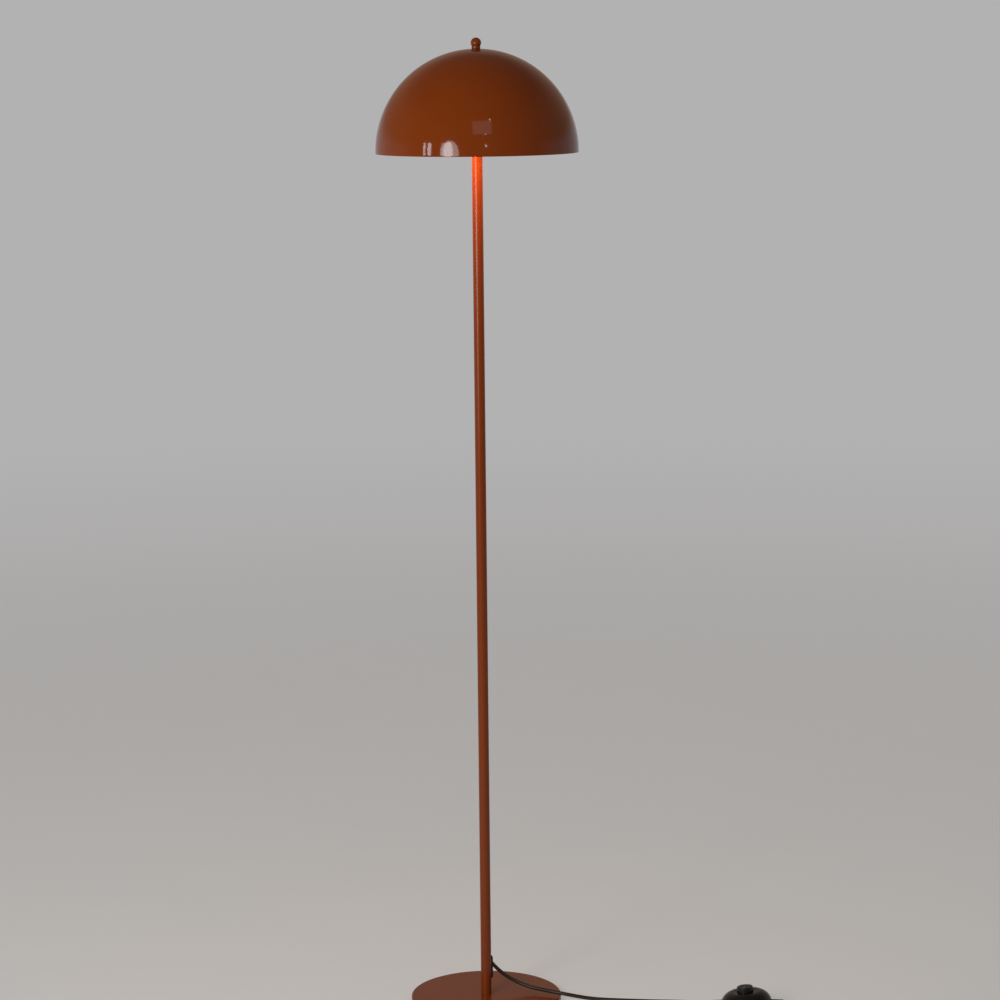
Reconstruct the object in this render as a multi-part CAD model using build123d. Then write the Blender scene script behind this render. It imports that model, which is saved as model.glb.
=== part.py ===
"""Mushroom floor lamp: dome shade with a ball finial, screwed pole, round base, corded foot switch.

Millimetres, +Z up, -Y is the front. The origin is the centre of the base where it stands.
"""
from build123d import *
from math import cos, hypot, pi, radians, sin, sqrt, tan
import os

os.makedirs("parts", exist_ok=True)

# Base: a steel pressing over a steel weight, with a soft pad below
base_diameter = 230.0
base_height = 8.0
base_edge_round = 2.0
cover_wall = 0.8
cover_lift = 0.6
weight_gap = 0.3
weight_chamfer = 1.6
pad_thickness = 1.2
pad_inset = 4.0
nut_recess_radius = 16.0
nut_recess_depth = 4.0

# Threads are plain cylinders with this radial clearance
thread_clearance = 0.05
nipple_radius = 4.95
nipple_bore_radius = 3.5
nipple_length = 22.0
thin_nut_across_flats = 17.0
thin_nut_height = 3.0
base_washer_radius = 11.0
base_washer_thickness = 1.2
base_nipple_end_gap = 0.8

# Pole: four tubes screwed end to end, and the head tube above the lampholder bracket
pole_diameter = 16.0
pole_wall = 1.2
pole_edge_chamfer = 0.35
lower_section_length = 330.0
lower_section_count = 3
top_section_length = 406.5
head_tube_length = 38.0
bush_length = 12.0
bush_gap = 0.02
head_bush_length = 10.0
stud_radius = 2.95
stud_end_gap = 0.5

# Shade and finial
shade_diameter = 300.0
shade_wall = 1.2
shade_skirt = 2.0
shade_seat_radius = 9.0
shade_hole_clearance = 0.25
seat_washer_thickness = 1.5
finial_washer_radius = 6.2
finial_washer_thickness = 0.6
finial_collar_radius = 6.6
finial_collar_height = 2.4
finial_ball_diameter = 15.5
finial_ball_height = 7.9
finial_bore_depth = 9.0

# Lampholder: hangs from a strip bracket beside the pole, to the front left
holder_angle = 225.0
holder_offset = 40.0
bracket_thickness = 2.0
bracket_end_radius = 11.0
holder_cap_height = 14.0
holder_cap_top_radius = 10.0
holder_cap_shoulder = 6.0
holder_cap_neck = 2.0
holder_cap_roof = 5.0
holder_radius = 19.0
holder_wall = 2.0
holder_shell_height = 30.0
holder_lip_thickness = 1.6
holder_lip_gap = 0.4
holder_mouth_round = 1.0
holder_core_height = 7.0
holder_core_gap = 0.2
screw_shell_wall = 0.5
screw_shell_gap = 0.3
centre_contact_radius = 5.0
centre_contact_thickness = 1.0
holder_nipple_reach = 7.0
holder_nipple_stand = 1.0

# Bulb: small globe with a screw cap
bulb_length = 78.0
bulb_globe_radius = 22.5
bulb_cap_radius = 13.2
bulb_cap_length = 21.0
bulb_tip_radius = 4.6
bulb_tip_thickness = 1.2
bulb_tip_rim = 0.4
bulb_insulator_height = 3.0
bulb_insulator_radius = 11.2
bulb_housing_radius = 15.5
bulb_housing_length = 11.0
bulb_housing_bevel = 3.0
bulb_glass_thickness = 1.0
bulb_contact_gap = 0.1

# Cord and the outlet that it leaves the pole by
cord_diameter = 5.8
cord_clearance = 0.1
outlet_angle = 30.0
outlet_height = 36.0
outlet_width = 8.0
outlet_proud = 2.3
outlet_centre = 50.0
outlet_slot_height = 31.0
outlet_slot_width = 7.2
outlet_fit_gap = 0.1
outlet_reach = 0.8
outlet_round = 0.9
cord_slant = 40.0
cord_bend_height = 68.0
cord_bend_radius = 14.0
cord_start_radius = 11.0
cord_slant_end = 23.2
wire_diameter = 2.4
wire_spread = 1.35
wire_turn_radius = 4.5
wire_drop_radius = 12.0
wire_stand = 6.0
cord_stand = 1.5
grommet_radius = 4.5
grommet_bore_radius = 3.0
grommet_lip = 1.0
grommet_lip_thickness = 0.9

# Foot switch, tipped up on its right side
switch_x = 396.0
switch_y = -62.0
switch_yaw = -18.0
switch_tilt = 6.0
switch_radius = 38.0
switch_wall = 2.0
switch_split = 9.0
switch_height = 24.0
switch_wall_height = 11.0
switch_shoulder_radius = 14.0
switch_bulge_out = 0.845
switch_bulge_up = 0.66
switch_chamfer = 0.8
button_radius = 12.2
button_gap = 0.3
button_stop_gap = 0.1
button_proud = 8.0
button_travel = 3.5
button_flange = 1.9
button_flange_thickness = 1.6
button_wall = 2.0
button_round = 1.2
plunger_radius = 3.0
plunger_gap = 0.3
block_length = 30.0
block_width = 18.0
block_floor = 1.0
block_top = 12.0
block_lid_thickness = 2.5
block_cavity_length = 22.0
block_cavity_width = 7.2
bridge_length = 20.0
bridge_width = 5.0
contact_thickness = 0.8
contact_tail = 18.0
contact_width = 4.0
contact_reach = 5.0
contact_gap = 0.05
contact_stop_gap = 0.1
spring_radius = 5.6
spring_wire = 0.9
spring_turns = 6
spring_end_gap = 0.3
screw_count = 3
screw_circle = 30.0
screw_radius = 1.45
screw_head_radius = 2.8
screw_head_height = 1.6
screw_length = 14.0
screw_sink = 0.3
screw_angle = 90.0
screw_head_gap = 0.2
screw_end_gap = 1.0
boss_radius = 3.6
foot_count = 3
foot_angle = 30.0
foot_gap = 0.1
foot_radius = 4.0
foot_circle = 24.0
foot_proud = 0.8
foot_sunk = 0.6
sleeve_height = 7.0
sleeve_length = 20.0
sleeve_root_radius = 4.4
sleeve_end_radius = 3.6
sleeve_flange_radius = 4.9
sleeve_flange_thickness = 1.2
sleeve_sink = 1.2
sleeve_shoulder = 1.0
sleeve_fit_gap = 0.1
sleeve_cord_end = 1.0
sleeve_run_in = 17.6
sleeve_run_out = 14.0
switch_wire_diameter = 2.2
switch_wire_bend = 4.0
switch_wire_lead = 6.5
switch_wire_drop = 3.0
switch_wire_end = 0.5
switch_wire_gap = 0.02
switch_wire_passing = 5.0

# Coil of spare cord, and the tie round it
coil_x = 455.5
coil_y = -165.8
coil_radius = 42.0
turn_pitch = 7.4
layer_pitch = 7.0
coil_lift = 1.0
coil_halves = 5
tie_width = 9.0
tie_thickness = 0.8
tie_gap = 0.2
tie_side_gap = 0.5

# Two-pin plug at the end of the cord
plug_x = 364.3
plug_y = -197.37
plug_yaw = 170.5
plug_length = 36.0
plug_width = 35.3
plug_height = 13.7
plug_neck_width = 15.0
plug_neck_height = 10.5
plug_corner = 4.0
boot_length = 20.0
boot_run_in = 11.0
boot_root_radius = 4.6
boot_end_radius = 3.7
pin_spacing = 18.6
pin_radius = 2.0
pin_core_radius = 1.5
pin_round = 1.6
pin_length = 19.0
pin_seat = 9.0
pin_sleeve_length = 10.0
pin_sleeve_radius = 1.9

# Places that follow from the sizes above
cord_radius = cord_diameter / 2
pole_radius = pole_diameter / 2
pole_inner_radius = pole_radius - pole_wall
pole_foot = base_height
pole_top = pole_foot + lower_section_count * lower_section_length + top_section_length
head_foot = pole_top + bracket_thickness
head_top = head_foot + head_tube_length
shade_inner_crown = head_top + seat_washer_thickness
shade_crown = shade_inner_crown + shade_wall
shade_radius = shade_diameter / 2
seat_sag = shade_radius - sqrt(shade_radius**2 - shade_seat_radius**2)
shade_centre = shade_crown + seat_sag - shade_radius
shade_rim = shade_centre - shade_skirt
finial_foot = shade_crown + finial_washer_thickness
threaded_bore = nipple_radius + thread_clearance
outlet_direction = Vector(cos(radians(outlet_angle)), sin(radians(outlet_angle)), 0)
coil_low = coil_lift + cord_radius
coil_high = coil_low + layer_pitch
cord_end_in_switch = switch_radius - switch_wall - sleeve_flange_thickness - sleeve_cord_end


def bar(radius, low, high):
    """Round bar on the Z axis."""
    return Pos(0, 0, low) * Cylinder(radius, high - low, align=(Align.CENTER, Align.CENTER, Align.MIN))


def tube(outer, inner, low, high):
    """Round tube on the Z axis, cut right through."""
    return bar(outer, low, high) - bar(inner, low - 1, high + 1)


def box(length, width, low, high):
    """Block centred on the Z axis."""
    return Pos(0, 0, low) * Box(length, width, high - low, align=(Align.CENTER, Align.CENTER, Align.MIN))


def turned(*lines):
    """Solid turned about the Z axis from connected lines and arcs in the XZ plane."""
    return revolve(make_face(Curve() + list(lines)), Axis.Z)


def outline(*points):
    """Closed outline through radius and height points, as one line."""
    corners = [Vector(radius, 0, height) for radius, height in points]
    return Polyline(*corners, close=True)


def round_edges(shape, height):
    """Circular edges of a shape that lie at one height."""
    circles = shape.edges().filter_by(GeomType.CIRCLE)
    return [edge for edge in circles if abs(edge.center().Z - height) < 0.01]


def hexagon_nut(low, height):
    """Thin nut on the Z axis."""
    blank = extrude(RegularPolygon(thin_nut_across_flats / sqrt(3), 6), height)
    return Pos(0, 0, low) * blank - bar(threaded_bore, low - 1, low + height + 1)


def nipple(low, length):
    """Hollow threaded nipple."""
    return tube(nipple_radius, nipple_bore_radius, low, low + length)


def around(count, radius, start_angle):
    """Places on a circle about the Z axis."""
    return [Rot(0, 0, start_angle + 360 / count * k) * Pos(radius, 0, 0) for k in range(count)]


def save(node, *solids):
    """Write one node; its solids stay separate."""
    shape = solids[0] if len(solids) == 1 else Compound(children=list(solids))
    export_step(shape, f"parts/{node}.step")


def bend_radii(route):
    """Arc radius at each inner point of a route: as large as its two runs allow."""
    radii = []
    for before, point, after in zip(route, route[1:], route[2:]):
        incoming = point - before
        outgoing = after - point
        half_turn = radians(incoming.get_angle(outgoing)) / 2
        radii.append(0.45 * min(incoming.length, outgoing.length) / tan(half_turn))
    return radii


def tube_along(path, diameter, name):
    """Round tube along a path, with its volume set against section times length."""
    section = Plane(path @ 0, z_dir=path % 0) * Circle(diameter / 2)
    solid = sweep(section, path=path)
    expected = pi * diameter**2 / 4 * path.length
    print(f"{name}: length {path.length:.1f}, volume ratio {solid.volume / expected:.4f}")
    return solid


def routed_tube(points, diameter, name):
    """Tube along straight runs joined by tangent arcs."""
    route = [Vector(*point) for point in points]
    radii = bend_radii(route)
    print(f"{name}: points", [tuple(round(value, 2) for value in point) for point in route])
    print(f"{name}: radii", [round(radius, 1) for radius in radii])
    return tube_along(FilletPolyline(*route, radius=radii), diameter, name)


# ---------------------------------------------------------------- base
def make_base():
    radius = base_diameter / 2
    inner_radius = radius - cover_wall
    inner_top = base_height - cover_wall
    pressing = bar(radius, cover_lift, base_height)
    pressing = fillet(round_edges(pressing, base_height), base_edge_round)
    hollow = bar(inner_radius, cover_lift - 1, inner_top)
    hollow = fillet(round_edges(hollow, inner_top), base_edge_round - cover_wall)
    cover = pressing - hollow - bar(threaded_bore, 0, base_height + 1)
    save("base_cover", cover)

    weight = bar(inner_radius - weight_gap, pad_thickness, inner_top)
    weight = chamfer(round_edges(weight, inner_top), weight_chamfer)
    weight -= bar(nut_recess_radius, 0, pad_thickness + nut_recess_depth)
    weight -= bar(threaded_bore, 0, base_height)
    save("base_weight", weight)
    save("base_pad", tube(inner_radius - pad_inset, nut_recess_radius, 0, pad_thickness))

    web_bottom = pad_thickness + nut_recess_depth
    washer_bottom = web_bottom - base_washer_thickness
    save("base_washer", tube(base_washer_radius, threaded_bore, washer_bottom, web_bottom))
    save("base_nut", hexagon_nut(washer_bottom - thin_nut_height, thin_nut_height))
    nipple_top = pole_foot + bush_length - 1
    save("base_nipple", nipple(base_nipple_end_gap, nipple_top - base_nipple_end_gap))


# ---------------------------------------------------------------- pole
def pole_tube(low, high):
    blank = tube(pole_radius, pole_inner_radius, low, high)
    outer_ends = []
    for height in (low, high):
        outer_ends += [edge for edge in round_edges(blank, height) if edge.radius > pole_inner_radius + 0.1]
    return chamfer(outer_ends, pole_edge_chamfer)


def stadium_bar(height, width, near, far):
    """Bar with a tall, round-ended section, pointing out of the pole at the outlet."""
    section = Plane.YZ * Rot(0, 0, 90) * SlotOverall(height, width)
    return Rot(0, 0, outlet_angle) * Pos(near, 0, outlet_centre) * extrude(section, far - near)


def slant_bar(radius):
    """Bar along the slant that the cord leaves the pole by."""
    blank = bar(radius, 0, 60)
    return Rot(0, 0, outlet_angle) * Pos(0, 0, cord_bend_height) * Rot(0, 180 - cord_slant, 0) * blank


def make_pole():
    seams = [pole_foot + lower_section_length * k for k in range(lower_section_count + 1)] + [pole_top]
    tubes = [pole_tube(low, high) for low, high in zip(seams, seams[1:])]
    tubes[0] -= stadium_bar(outlet_slot_height, outlet_slot_width, 2, pole_radius + 2)
    for number, section in enumerate(tubes, start=1):
        save(f"pole_tube_{number}", section)

    wire_height = head_foot + bush_length + cord_stand + wire_stand
    grommet_place = Rot(0, 0, holder_angle) * Pos(0, 0, wire_height) * Rot(0, 90, 0)
    head = pole_tube(head_foot, head_top) - grommet_place * bar(grommet_radius, 0, pole_radius + 2)
    save("head_tube", head)

    def bush(low):
        return tube(pole_inner_radius - bush_gap, threaded_bore, low, low + bush_length)

    bushes = [bush(low) for low in seams[:-1]] + [bush(high - bush_length) for high in seams[1:]]
    save("tube_bushes", *bushes, bush(head_foot))
    head_bush_foot = head_top - head_bush_length
    head_bush = tube(pole_inner_radius - bush_gap, stud_radius + thread_clearance, head_bush_foot, head_top)
    save("head_bush", head_bush)
    joints = seams[1:-1] + [pole_top + bracket_thickness / 2]
    save("joining_nipples", *[nipple(height - nipple_length / 2, nipple_length) for height in joints])
    stud_foot = head_bush_foot + stud_end_gap
    stud_top = finial_foot + finial_bore_depth - stud_end_gap
    save("top_stud", bar(stud_radius, stud_foot, stud_top))

    lip_radius = grommet_radius + grommet_lip
    near, far = pole_inner_radius - grommet_lip_thickness, pole_radius + grommet_lip_thickness
    grommet = bar(grommet_radius - outlet_fit_gap, near, far)
    lips = bar(lip_radius, near, far)
    lips -= Rot(0, -90, 0) * tube(pole_radius + outlet_fit_gap, pole_inner_radius - outlet_fit_gap, -20, 20)
    grommet = grommet_place * (grommet + lips - bar(grommet_bore_radius, near - 1, far + 1))
    save("wire_grommet", grommet)

    flange = stadium_bar(outlet_height, outlet_width, 0, pole_radius + outlet_proud)
    front_face = flange.faces().sort_by(Axis((0, 0, 0), tuple(outlet_direction)))[-1]
    flange = fillet(front_face.edges(), outlet_round)
    flange -= bar(pole_radius + outlet_fit_gap, 0, outlet_centre + outlet_height)
    tongue_height = outlet_slot_height - 2 * outlet_fit_gap
    tongue_width = outlet_slot_width - 2 * outlet_fit_gap
    tongue = stadium_bar(tongue_height, tongue_width, pole_inner_radius - outlet_reach, pole_radius + 1)
    outlet = flange + tongue - slant_bar(cord_radius + cord_clearance)
    save("cord_outlet", outlet)


def on_slant(distance):
    """Point of the slant, at a distance from the pole's axis."""
    drop = distance / tan(radians(cord_slant))
    return outlet_direction * distance + Vector(0, 0, cord_bend_height - drop)


def make_pole_cord():
    """Cord inside the pole, and the two wires that carry on into the lampholder."""
    cord_top = head_foot + bush_length + cord_stand
    points = [on_slant(cord_start_radius), on_slant(0), Vector(0, 0, cord_top)]
    path = FilletPolyline(*points, radius=cord_bend_radius)
    save("pole_cord", tube_along(path, cord_diameter, "pole_cord"))

    run_height = cord_top + wire_stand
    core_top = pole_top - holder_cap_height
    for node, side in (("wire_brown", 1), ("wire_blue", -1)):
        shift = side * wire_spread
        points = [(0, shift, cord_top), (0, shift, run_height), (holder_offset, shift, run_height),
                  (holder_offset, shift, core_top)]
        bends = [wire_turn_radius, wire_drop_radius]
        wire = tube_along(FilletPolyline(*points, radius=bends), wire_diameter, node)
        save(node, Rot(0, 0, holder_angle) * wire)


# ---------------------------------------------------------------- shade and finial
def dome(radius, low, crown):
    """Solid dome: a sphere's top over a short straight skirt, cut flat at the crown."""
    ball = Pos(0, 0, shade_centre) * Sphere(radius)
    cap = ball & bar(radius + 1, shade_centre, crown)
    return cap + bar(radius, low, shade_centre)


def make_shade():
    outer = dome(shade_radius, shade_rim, shade_crown)
    inner = dome(shade_radius - shade_wall, shade_rim - 1, shade_inner_crown)
    hole = bar(stud_radius + shade_hole_clearance, shade_inner_crown - 1, shade_crown + 1)
    save("shade", outer - inner - hole)
    washer_bore = stud_radius + shade_hole_clearance
    save("seat_washer", tube(pole_radius, washer_bore, head_top, shade_inner_crown))
    save("finial_washer", tube(finial_washer_radius, washer_bore, shade_crown, finial_foot))
    ball = Pos(0, 0, finial_foot + finial_ball_height) * Sphere(finial_ball_diameter / 2)
    collar = bar(finial_collar_radius, finial_foot, finial_foot + finial_collar_height)
    above_foot = bar(finial_ball_diameter, finial_foot, finial_foot + 2 * finial_ball_diameter)
    bore = bar(stud_radius + thread_clearance, finial_foot - 1, finial_foot + finial_bore_depth)
    save("finial", (ball + collar) & above_foot - bore)


# ---------------------------------------------------------------- lampholder and bulb
def at_holder(shape):
    return Rot(0, 0, holder_angle) * Pos(holder_offset, 0, 0) * shape


def make_lampholder():
    strip = box(holder_offset, pole_diameter, pole_top, head_foot)
    plate = Pos(holder_offset / 2, 0, 0) * strip + bar(pole_radius, pole_top, head_foot)
    plate += Pos(holder_offset, 0, 0) * bar(bracket_end_radius, pole_top, head_foot)
    for distance in (0, holder_offset):
        plate -= Pos(distance, 0, 0) * bar(threaded_bore, pole_top - 1, head_foot + 1)
    save("holder_bracket", Rot(0, 0, holder_angle) * plate)

    nut_top = head_foot + thin_nut_height
    save("holder_nut", at_holder(hexagon_nut(head_foot, thin_nut_height)))
    nipple_foot = pole_top - holder_nipple_reach
    save("holder_nipple", at_holder(nipple(nipple_foot, nut_top + holder_nipple_stand - nipple_foot)))

    cap_foot = pole_top - holder_cap_height
    shoulder = cap_foot + holder_cap_shoulder
    neck = pole_top - holder_cap_neck
    roof = pole_top - holder_cap_roof
    wall_radius = holder_radius - holder_wall
    cap_outline = outline(
        (0, cap_foot), (holder_radius, cap_foot), (holder_radius, shoulder),
        (holder_cap_top_radius, neck), (holder_cap_top_radius, pole_top), (0, pole_top),
    )
    cavity_outline = outline(
        (0, cap_foot - 1), (wall_radius, cap_foot - 1), (wall_radius, shoulder),
        (holder_cap_top_radius - holder_wall, roof), (0, roof),
    )
    cap = turned(cap_outline) - turned(cavity_outline) - bar(threaded_bore, cap_foot, pole_top + 1)
    save("holder_cap", at_holder(cap))

    mouth = cap_foot - holder_shell_height
    shell = bar(holder_radius, mouth, cap_foot)
    shell = fillet(round_edges(shell, mouth), holder_mouth_round)
    lip_radius = bulb_cap_radius + screw_shell_gap + screw_shell_wall + holder_lip_gap
    shell -= bar(wall_radius, mouth + holder_lip_thickness, cap_foot + 1)
    shell -= bar(lip_radius, mouth - 1, cap_foot)
    save("holder_shell", at_holder(shell))

    core_foot = cap_foot - holder_core_height
    save("holder_core", at_holder(bar(wall_radius - holder_core_gap, core_foot, cap_foot)))
    screw_inner = bulb_cap_radius + screw_shell_gap
    screw_shell = tube(screw_inner + screw_shell_wall, screw_inner, mouth + holder_lip_thickness, core_foot)
    save("holder_screw_shell", at_holder(screw_shell))
    contact_foot = core_foot - centre_contact_thickness
    save("holder_centre_contact", at_holder(bar(centre_contact_radius, contact_foot, core_foot)))
    return contact_foot - bulb_contact_gap


def make_bulb(tip_top):
    tip_foot = tip_top - bulb_tip_thickness
    save("bulb_contact", at_holder(bar(bulb_tip_radius, tip_foot, tip_top)))
    collar_foot = tip_foot - bulb_insulator_height
    insulator_outline = outline(
        (0, collar_foot), (bulb_insulator_radius, collar_foot),
        (bulb_tip_radius + bulb_tip_rim, tip_foot), (0, tip_foot),
    )
    save("bulb_insulator", at_holder(turned(insulator_outline)))
    cap_foot = collar_foot - bulb_cap_length
    save("bulb_cap", at_holder(bar(bulb_cap_radius, cap_foot, collar_foot)))
    housing_foot = cap_foot - bulb_housing_length
    globe_centre = tip_top - bulb_length + bulb_globe_radius
    neck_radius = sqrt(bulb_globe_radius**2 - (housing_foot - globe_centre)**2)
    housing_outline = outline(
        (0, housing_foot), (neck_radius, housing_foot), (bulb_housing_radius, cap_foot - bulb_housing_bevel),
        (bulb_cap_radius, cap_foot), (0, cap_foot),
    )
    save("bulb_housing", at_holder(turned(housing_outline)))
    globe = Pos(0, 0, globe_centre) * Sphere(bulb_globe_radius)
    globe &= bar(bulb_globe_radius + 1, globe_centre - bulb_globe_radius - 1, housing_foot)
    globe -= Pos(0, 0, globe_centre) * Sphere(bulb_globe_radius - bulb_glass_thickness)
    save("bulb_globe", at_holder(globe))


# ---------------------------------------------------------------- foot switch
switch_lift = (switch_radius - switch_chamfer) * sin(radians(switch_tilt))
switch_place = Location((switch_x, switch_y, switch_lift)) * Rot(0, 0, switch_yaw) * Rot(0, -switch_tilt, 0)


def switch_shell(inset):
    """Solid of the switch's outer shape, drawn in by inset: a low wall under a domed crown."""
    edge = switch_radius - inset
    top = switch_height - inset
    rise = top - switch_wall_height
    side = Polyline((0, 0, top), (0, 0, inset), (edge, 0, inset), (edge, 0, switch_wall_height))
    bulge = (edge * switch_bulge_out, 0, switch_wall_height + rise * switch_bulge_up)
    flat_edge = (switch_shoulder_radius, 0, top)
    crown = ThreePointArc((edge, 0, switch_wall_height), bulge, flat_edge)
    return turned(side, crown, Line(flat_edge, (0, 0, top)))


def make_switch():
    outer = switch_shell(0)
    outer = chamfer(round_edges(outer, 0), switch_chamfer)
    inner = switch_shell(switch_wall)
    width = 2 * switch_radius + 2
    lower_half = box(width, width, -1, switch_split)
    upper_half = box(width, width, switch_split, switch_height + 1)
    screw_places = around(screw_count, screw_circle, screw_angle)
    bosses = Compound(children=[place * bar(boss_radius, 1, switch_height) for place in screw_places])
    body = outer - (inner - bosses)
    sleeve_hole = bar(sleeve_root_radius + sleeve_fit_gap, switch_radius - 2 * switch_wall, switch_radius + 1)
    for turn in (-90, 90):
        body -= Pos(0, 0, sleeve_height) * Rot(0, turn, 0) * sleeve_hole
    for place in screw_places:
        body -= place * bar(screw_radius + thread_clearance, -1, screw_length + screw_end_gap)
        body -= place * bar(screw_head_radius + screw_head_gap, -1, screw_head_height + screw_sink)
    foot_places = around(foot_count, foot_circle, foot_angle)
    for place in foot_places:
        body -= place * bar(foot_radius + foot_gap, -1, foot_sunk)
    button_hole = bar(button_radius + button_gap, switch_split, switch_height + 1)
    save("switch_base", switch_place * (body & lower_half))
    save("switch_cover", switch_place * ((body & upper_half) - button_hole))

    head = bar(screw_head_radius, screw_sink, screw_sink + screw_head_height)
    shank = bar(screw_radius, screw_sink, screw_sink + screw_length)
    save("switch_screws", *[switch_place * place * (head + shank) for place in screw_places])
    foot = bar(foot_radius, -foot_proud, foot_sunk)
    save("switch_feet", *[switch_place * place * foot for place in foot_places])

    roof = switch_height + button_proud
    flange_top = switch_height - switch_wall - button_stop_gap
    flange_foot = flange_top - button_flange_thickness
    button = bar(button_radius, flange_foot, roof)
    button = fillet(round_edges(button, roof), button_round)
    button += bar(button_radius + button_flange, flange_foot, flange_top)
    roof_inside = roof - button_wall
    button -= bar(button_radius - button_wall, flange_foot - 1, roof_inside)
    bridge_foot = switch_wall + block_floor + contact_thickness + contact_stop_gap + button_travel
    bridge_top = bridge_foot + contact_thickness
    button += bar(plunger_radius, bridge_top, roof)
    save("switch_button", switch_place * button)
    save("switch_bridge", switch_place * box(bridge_length, bridge_width, bridge_foot, bridge_top))

    floor_top = switch_wall + block_floor
    lid_foot = block_top - block_lid_thickness
    block = box(block_length, block_width, switch_wall, lid_foot)
    block -= box(block_cavity_length, block_cavity_width, floor_top, lid_foot + 1)
    slot_top = floor_top + contact_thickness + contact_gap
    block -= box(block_length + 2, contact_width + 2 * contact_gap, floor_top, slot_top)
    save("switch_block", switch_place * block)
    lid = box(block_length, block_width, lid_foot, block_top)
    lid -= bar(plunger_radius + plunger_gap, lid_foot - 1, block_top + 1)
    save("switch_block_lid", switch_place * lid)
    inner_end = block_cavity_length / 2 - contact_reach
    strip = box(contact_tail - inner_end, contact_width, floor_top, floor_top + contact_thickness)
    middle = (contact_tail + inner_end) / 2
    save("switch_terminals", *[switch_place * Pos(side * middle, 0, 0) * strip for side in (1, -1)])

    spring_foot = block_top + spring_end_gap + spring_wire / 2
    spring_height = roof_inside - spring_end_gap - spring_wire / 2 - spring_foot
    helix = Pos(0, 0, spring_foot) * Helix(spring_height / spring_turns, spring_height, spring_radius)
    section = Plane(helix @ 0, z_dir=helix % 0) * Circle(spring_wire / 2)
    save("switch_spring", switch_place * sweep(section, path=helix, is_frenet=True))

    flange_foot = switch_radius - switch_wall - sleeve_flange_thickness - sleeve_sink
    flange_top = flange_foot + sleeve_flange_thickness
    sleeve_end = switch_radius + sleeve_length
    sleeve_outline = outline(
        (0, flange_foot), (sleeve_flange_radius, flange_foot), (sleeve_flange_radius, flange_top),
        (sleeve_root_radius, flange_top), (sleeve_root_radius, switch_radius + sleeve_shoulder),
        (sleeve_end_radius, sleeve_end), (0, sleeve_end),
    )
    sleeve = turned(sleeve_outline) - bar(cord_radius + thread_clearance, 0, sleeve_end + 1)
    for node, turn in (("switch_sleeve_in", -90), ("switch_sleeve_out", 90)):
        save(node, switch_place * Pos(0, 0, sleeve_height) * Rot(0, turn, 0) * sleeve)


def make_switch_wires():
    """The wires inside the switch: one broken by the contacts, one straight past them."""
    start = cord_end_in_switch
    turn_off = start - switch_wire_lead
    on_contact = switch_wall + block_floor + contact_thickness + switch_wire_diameter / 2 + switch_wire_gap
    wires = []
    for side in (1, -1):
        points = [
            (side * start, -wire_spread, sleeve_height), (side * turn_off, -wire_spread, sleeve_height),
            (side * (contact_tail + switch_wire_drop), -wire_spread, on_contact),
            (side * (block_length / 2 + switch_wire_end), -wire_spread, on_contact),
        ]
        wires.append(switch_wire(points))
    passing = block_width / 2 + switch_wire_passing
    corner = contact_tail + 1
    points = [
        (-start, wire_spread, sleeve_height), (-turn_off, wire_spread, sleeve_height),
        (-corner, passing, sleeve_height), (corner, passing, sleeve_height),
        (turn_off, wire_spread, sleeve_height), (start, wire_spread, sleeve_height),
    ]
    wires.append(switch_wire(points))
    save("switch_wires", *[switch_place * wire for wire in wires])


def switch_wire(points):
    path = FilletPolyline(*points, radius=switch_wire_bend)
    return tube_along(path, switch_wire_diameter, "switch_wires")


# ---------------------------------------------------------------- cord
def in_switch(x, y, z):
    """A point of the switch, in the lamp's frame."""
    return (switch_place * Pos(x, y, z)).position


def make_cord_to_switch():
    entry = in_switch(-cord_end_in_switch, 0, sleeve_height)
    straight = in_switch(-switch_radius - sleeve_length - sleeve_run_in, 0, sleeve_height)
    route = [
        (43.0, 12.0, 24.5), (67.5, 4.5, 16.4), (90.5, -7.0, 15.0), (113.0, -19.0, 14.2),
        (137.0, -19.5, 9.2), (160.0, -16.5, 4.1), (184.0, -19.5, 2.95), (222.0, -25.0, 2.95),
        (260.0, -29.5, 2.95), (294.0, -32.0, 2.95),
    ]
    points = [on_slant(cord_start_radius), on_slant(cord_slant_end)] + route + [straight, entry]
    save("cord_to_switch", routed_tube(points, cord_diameter, "cord_to_switch"))


def make_cord_to_coil():
    leave = in_switch(cord_end_in_switch, 0, sleeve_height)
    straight = in_switch(switch_radius + sleeve_length + sleeve_run_out, 0, sleeve_height)
    route = [(484.0, -98.5, 13.5), (494.0, -120.0, 7.5), (497.5, -140.0, 3.9)]
    end = (coil_x + coil_radius, coil_y + cord_diameter, coil_low)
    save("cord_to_coil", routed_tube([leave, straight] + route + [end], cord_diameter, "cord_to_coil"))


def half_turn(centre, radius, side, height):
    """Half a turn of the coil, clockwise from above: side -1 is the front half, 1 the back."""
    start = (centre - side * radius, 0, height)
    middle = (centre, side * radius, height)
    end = (centre + side * radius, 0, height)
    return ThreePointArc(start, middle, end)


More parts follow.
